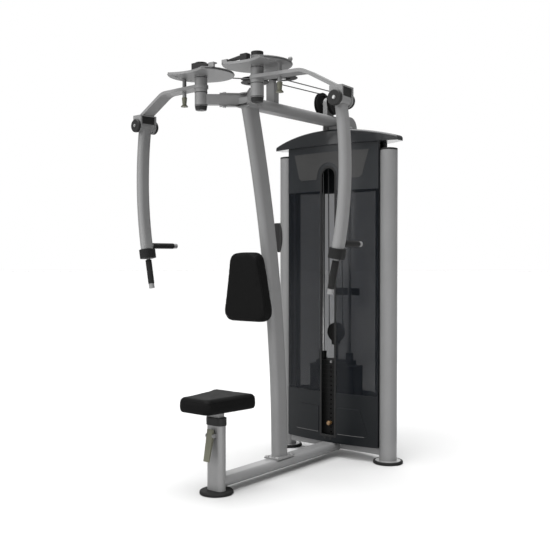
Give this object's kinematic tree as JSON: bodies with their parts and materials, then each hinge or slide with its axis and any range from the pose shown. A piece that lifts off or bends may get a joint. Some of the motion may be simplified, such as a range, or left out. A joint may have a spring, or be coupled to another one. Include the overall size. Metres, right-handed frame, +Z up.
{
  "type": "pec fly and rear delt machine",
  "caption": "Standing gym station with a padded seat and back on a curved mast, swinging overhead arms with grips, index cams, cables and a shrouded weight stack.",
  "frame": {"origin": "on the floor, under the middle of the machine's outline at rest", "axes": "+Z up; the user sits facing -Y with the tower behind at +Y; +X is to the left of the seated user"},
  "size_m": [1.3228, 1.315, 2.07],
  "materials": {
    "grey_paint": "metallic satin",
    "zinc": "plated",
    "seat_steel": "satin",
    "chrome": "polished",
    "charcoal": "satin",
    "tint": "tinted, clear",
    "black_plastic": "moulded",
    "black_rubber": "moulded",
    "vinyl": "grained vinyl over foam",
    "stack_black": "painted black",
    "cable": "nylon-coated steel cable",
    "olive": "moulded over steel",
    "brown_knob": "moulded over steel"
  },
  "bodies": {
    "frame": {"left_column": "grey_paint", "right_column": "grey_paint", "tube_caps": "black_plastic", "feet": "black_rubber", "rear_crossbeam": "grey_paint", "tower_header": "grey_paint", "base_beam": "grey_paint", "seat_post": "grey_paint", "post_collar": "black_plastic", "mast": "grey_paint", "top_beam": "grey_paint", "saddle": "grey_paint", "yoke_bars": "grey_paint", "yoke_gussets": "grey_paint", "pivot_housings": "grey_paint", "pulley_brackets": "grey_paint", "pulley_pins": "zinc", "frame_bolts": "zinc", "front_fascias": "charcoal", "rear_fascias": "charcoal", "windows": "tint", "side_rails": "black_plastic", "top_cover": "charcoal", "guide_rods": "chrome", "stack_bumpers": "black_rubber", "resting_plates": "stack_black", "back_pad": "vinyl", "pad_bracket": "grey_paint", "accessory_hook": "black_plastic", "cable_runs": "cable", "cable_drops": "cable"},
    "seat": {"seat_pad": "vinyl", "seat_carrier": "seat_steel"},
    "lever": {"seat_lever": "olive"},
    "right_cam_set": {"right_cam": "grey_paint", "right_cam_trim": "black_plastic", "right_rim_cable": "cable"},
    "left_cam_set": {"left_cam": "grey_paint", "left_cam_trim": "black_plastic", "left_rim_cable": "cable"},
    "right_upper_arm": {"right_arm": "grey_paint", "right_elbow_trim": "black_plastic"},
    "left_upper_arm": {"left_arm": "grey_paint", "left_elbow_trim": "black_plastic"},
    "right_index_pin": {"right_pop_pin": "olive"},
    "left_index_pin": {"left_pop_pin": "olive"},
    "right_lower_arm": {"right_forearm": "grey_paint", "right_grips": "black_rubber"},
    "left_lower_arm": {"left_forearm": "grey_paint", "left_grips": "black_rubber"},
    "stack": {"lifted_plates": "stack_black", "stack_head": "stack_black", "float_cable": "cable"},
    "float_wheel": {"floating_pulley": "black_plastic"},
    "selector": {"selector_pin": "brown_knob"},
    "right_guide_wheel": {"right_guide_pulley": "black_plastic"},
    "left_guide_wheel": {"left_guide_pulley": "black_plastic"},
    "right_tower_wheel": {"right_tower_pulley": "black_plastic"},
    "left_tower_wheel": {"left_tower_pulley": "black_plastic"}
  },
  "joints": [
    {"name": "seat_height", "type": "slide", "parent": "frame", "child": "seat", "axis": [0, 0, 1], "range_m": [0, 0.2]},
    {"name": "seat_lever_pull", "type": "hinge", "parent": "frame", "child": "lever", "pos_m": [0, -0.5335, 0.28], "axis": [-1, 0, 0], "range_deg": [0, 15], "stiffness_Nm_per_rad": 3},
    {"name": "right_cam_swing", "type": "hinge", "parent": "frame", "child": "right_cam_set", "pos_m": [0.178, -0.4015, 2.009], "axis": [0, 0, -1], "range_deg": [0, 90]},
    {"name": "left_cam_swing", "type": "hinge", "parent": "frame", "child": "left_cam_set", "pos_m": [-0.178, -0.4015, 2.009], "axis": [0, 0, 1], "range_deg": [0, 90]},
    {"name": "right_arm_index", "type": "hinge", "parent": "right_cam_set", "child": "right_upper_arm", "pos_m": [0.178, -0.4015, 2.009], "axis": [0, 0, 1], "range_deg": [-36, 18]},
    {"name": "left_arm_index", "type": "hinge", "parent": "left_cam_set", "child": "left_upper_arm", "pos_m": [-0.178, -0.4015, 2.009], "axis": [0, 0, -1], "range_deg": [-36, 18]},
    {"name": "right_pin_push", "type": "slide", "parent": "right_upper_arm", "child": "right_index_pin", "axis": [0, 0, 1], "range_m": [0, 0.008]},
    {"name": "left_pin_push", "type": "slide", "parent": "left_upper_arm", "child": "left_index_pin", "axis": [0, 0, 1], "range_m": [0, 0.008]},
    {"name": "right_forearm_swing", "type": "hinge", "parent": "right_upper_arm", "child": "right_lower_arm", "pos_m": [0.61931, -0.36289, 1.801], "axis": [0.0872, -0.9962, 0], "range_deg": [-20, 25]},
    {"name": "left_forearm_swing", "type": "hinge", "parent": "left_upper_arm", "child": "left_lower_arm", "pos_m": [-0.61931, -0.36289, 1.801], "axis": [0.0872, 0.9962, 0], "range_deg": [-20, 25]},
    {"name": "weight_lift", "type": "slide", "parent": "frame", "child": "stack", "axis": [0, 0, 1], "range_m": [0, 0.26], "deforming": ["cable_drops"]},
    {"name": "float_wheel_spin", "type": "hinge", "parent": "stack", "child": "float_wheel", "pos_m": [0, 0.5175, 0.691], "axis": [0, 1, 0], "continuous": true},
    {"name": "selector_pull", "type": "slide", "parent": "stack", "child": "selector", "axis": [0, -1, 0], "range_m": [0, 0.1]},
    {"name": "right_guide_spin", "type": "hinge", "parent": "frame", "child": "right_guide_wheel", "pos_m": [0.092, -0.0925, 2.018], "axis": [0, 0, 1], "range_deg": [-10, 340]},
    {"name": "left_guide_spin", "type": "hinge", "parent": "frame", "child": "left_guide_wheel", "pos_m": [-0.092, -0.0925, 2.018], "axis": [0, 0, -1], "range_deg": [-10, 340]},
    {"name": "right_tower_spin", "type": "hinge", "parent": "frame", "child": "right_tower_wheel", "pos_m": [0.042, 0.4375, 1.967], "axis": [1, 0, 0], "range_deg": [-10, 280]},
    {"name": "left_tower_spin", "type": "hinge", "parent": "frame", "child": "left_tower_wheel", "pos_m": [-0.042, 0.4375, 1.967], "axis": [1, 0, 0], "range_deg": [-10, 280]}
  ],
  "couplings": [
    {"joint": "left_cam_swing", "follows": "right_cam_swing", "ratio": 1},
    {"joint": "weight_lift", "follows": "right_cam_swing", "m_per_rad": 0.162},
    {"joint": "right_guide_spin", "follows": "right_cam_swing", "ratio": 3.5217},
    {"joint": "left_guide_spin", "follows": "right_cam_swing", "ratio": 3.5217},
    {"joint": "right_tower_spin", "follows": "right_cam_swing", "ratio": 2.8421},
    {"joint": "left_tower_spin", "follows": "right_cam_swing", "ratio": 2.8421}
  ]
}
